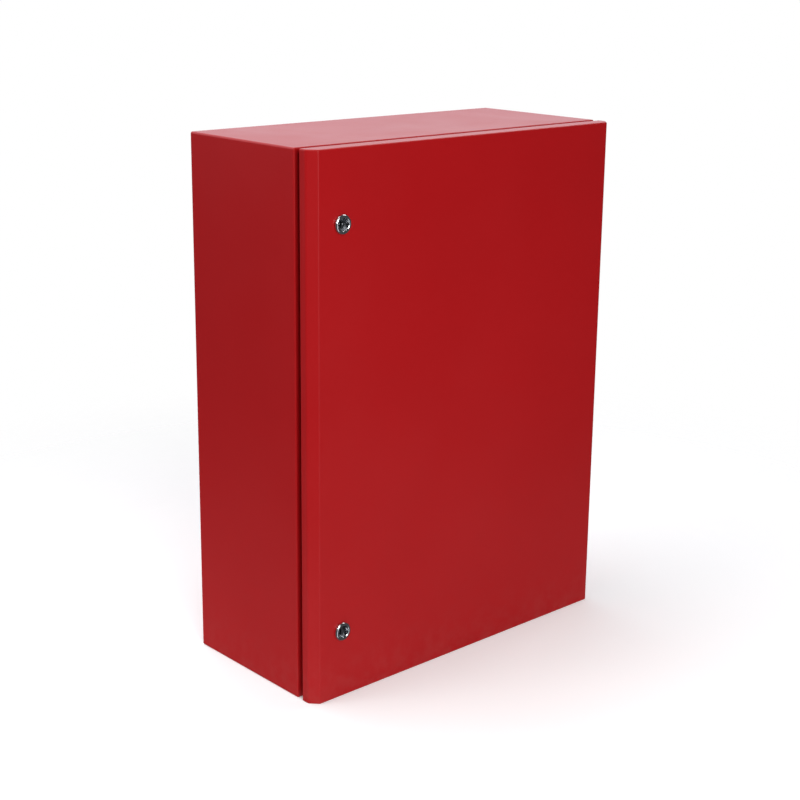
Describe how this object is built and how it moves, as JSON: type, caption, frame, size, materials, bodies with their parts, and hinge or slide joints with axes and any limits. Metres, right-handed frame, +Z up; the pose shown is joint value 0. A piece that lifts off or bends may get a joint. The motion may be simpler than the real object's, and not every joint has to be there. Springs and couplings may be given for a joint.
{
  "type": "standpipe cabinet",
  "caption": "Red folded sheet-steel wall cabinet with a hinged, sealed door, quarter-turn locks, mounting plate and blanked pipe entry.",
  "frame": {"origin": "centre of the four wall holes, on the outer face of the rear panel", "axes": "+Z up, -Y out through the door, +X towards the hinges as seen from the front"},
  "size_m": [0.6, 0.2793, 0.8],
  "materials": {
    "red_powder_coat": "fire-red polyester powder coat, fine orange peel, semi-gloss",
    "zinc_plated_sheet": "zinc-plated sheet, satin, faint spangle",
    "zinc_plated_fastener": "bright zinc-plated fasteners",
    "chromed_zinc": "polished chromed zinc die casting",
    "dark_insert": "dark burnished die-cast insert",
    "foam_gasket": "closed-cell polyurethane foam, dark grey, skinned surface",
    "rubber_seal": "flat black rubber seal",
    "diecast_hinge": "satin zinc die-cast hinge"
  },
  "bodies": {
    "cabinet": {"body_shell": "red_powder_coat", "rear_panel": "red_powder_coat", "mounting_plate": "zinc_plated_sheet", "mounting_plate_studs": "zinc_plated_fastener", "mounting_plate_washers": "zinc_plated_fastener", "mounting_plate_nuts": "zinc_plated_fastener", "entry_plate_gasket": "foam_gasket", "entry_plate": "red_powder_coat", "entry_plate_studs": "zinc_plated_fastener", "entry_plate_nuts": "zinc_plated_fastener", "body_earth_stud": "zinc_plated_fastener", "body_earth_nut": "zinc_plated_fastener", "upper_hinge_bracket": "diecast_hinge", "lower_hinge_bracket": "diecast_hinge", "hinge_screws": "zinc_plated_fastener"},
    "door": {"door_panel": "red_powder_coat", "door_gasket": "foam_gasket", "left_door_rail": "zinc_plated_sheet", "right_door_rail": "zinc_plated_sheet", "door_rail_studs": "zinc_plated_fastener", "door_rail_nuts": "zinc_plated_fastener", "door_earth_stud": "zinc_plated_fastener", "door_earth_nut": "zinc_plated_fastener", "upper_hinge_leaf": "red_powder_coat", "lower_hinge_leaf": "red_powder_coat", "upper_hinge_pin": "zinc_plated_fastener", "lower_hinge_pin": "zinc_plated_fastener", "upper_lock_housing": "chromed_zinc", "upper_lock_seal": "rubber_seal", "upper_lock_nut": "zinc_plated_fastener", "lower_lock_housing": "chromed_zinc", "lower_lock_seal": "rubber_seal", "lower_lock_nut": "zinc_plated_fastener"},
    "upper_lock_barrel": {"upper_lock_insert": "dark_insert", "upper_lock_cam": "zinc_plated_fastener", "upper_cam_washer": "zinc_plated_fastener", "upper_cam_screw": "zinc_plated_fastener"},
    "lower_lock_barrel": {"lower_lock_insert": "dark_insert", "lower_lock_cam": "zinc_plated_fastener", "lower_cam_washer": "zinc_plated_fastener", "lower_cam_screw": "zinc_plated_fastener"}
  },
  "joints": [
    {"name": "door_hinge", "type": "hinge", "parent": "cabinet", "child": "door", "pos_m": [0.2915, -0.255, 0], "axis": [0, 0, 1], "range_deg": [0, 120]},
    {"name": "upper_lock_turn", "type": "hinge", "parent": "door", "child": "upper_lock_barrel", "pos_m": [-0.247, -0.26, 0.297], "axis": [0, 1, 0], "range_deg": [0, 90]},
    {"name": "lower_lock_turn", "type": "hinge", "parent": "door", "child": "lower_lock_barrel", "pos_m": [-0.247, -0.26, -0.297], "axis": [0, 1, 0], "range_deg": [0, 90]}
  ]
}
